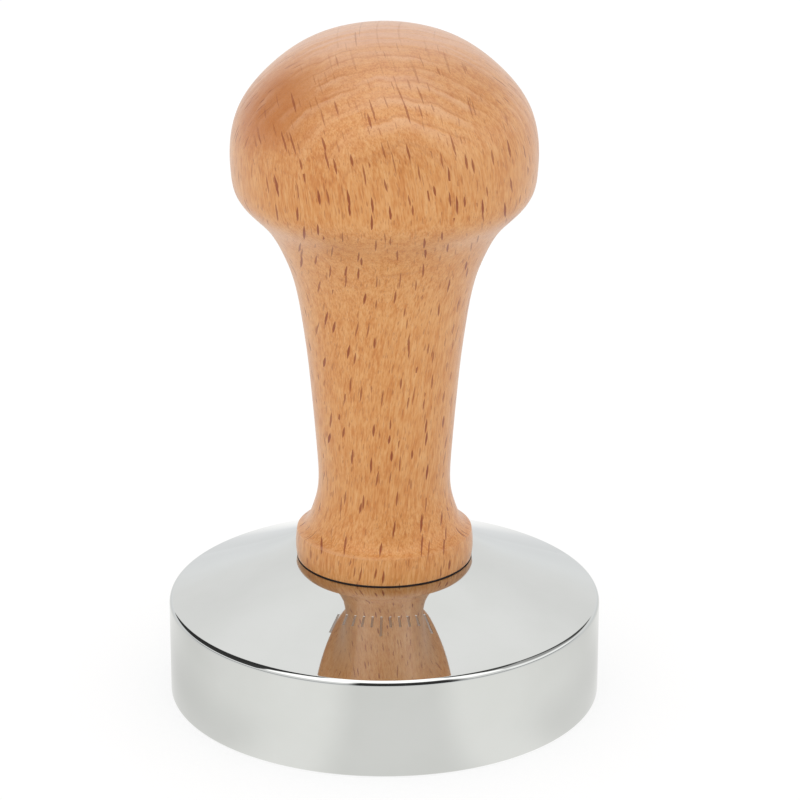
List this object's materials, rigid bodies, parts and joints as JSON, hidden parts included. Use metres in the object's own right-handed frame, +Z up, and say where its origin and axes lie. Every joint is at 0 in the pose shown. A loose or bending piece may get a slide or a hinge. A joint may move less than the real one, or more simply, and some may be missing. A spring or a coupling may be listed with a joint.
{
  "type": "espresso tamper",
  "caption": "Espresso tamper with a turned beech handle, a bulbous knob and a polished metal puck with a shallow cone top; the handle unscrews from the puck.",
  "frame": {"origin": "centre of the flat tamping face, on the axis", "axes": "+Z up the axis from the tamping face to the top of the knob; +X and +Y square to it, with the small row of marks on the puck's top facing -Y"},
  "size_m": [0.0575, 0.0574, 0.0909],
  "materials": {
    "polished_chrome": "mirror polished",
    "beech": "oiled satin beech with fine flecks",
    "black_fibre": "matte",
    "zinc_steel": "zinc plated, satin",
    "insert_brass": "satin"
  },
  "bodies": {
    "base_body": {"base": "polished_chrome"},
    "washer_body": {"washer": "black_fibre"},
    "handle_body": {"handle": "beech", "insert": "insert_brass", "stud": "zinc_steel"}
  },
  "joints": [
    {"name": "handle_lift", "type": "slide", "parent": "base_body", "child": "washer_body", "axis": [0, 0, 1], "range_m": [0, 0.0125]},
    {"name": "handle_unscrew", "type": "hinge", "parent": "washer_body", "child": "handle_body", "pos_m": [0, 0, 0.01906], "axis": [0, 0, 1], "range_deg": [0, 3600]}
  ],
  "couplings": [
    {"joint": "handle_lift", "follows": "handle_unscrew", "m_per_rad": 0.00019894}
  ]
}
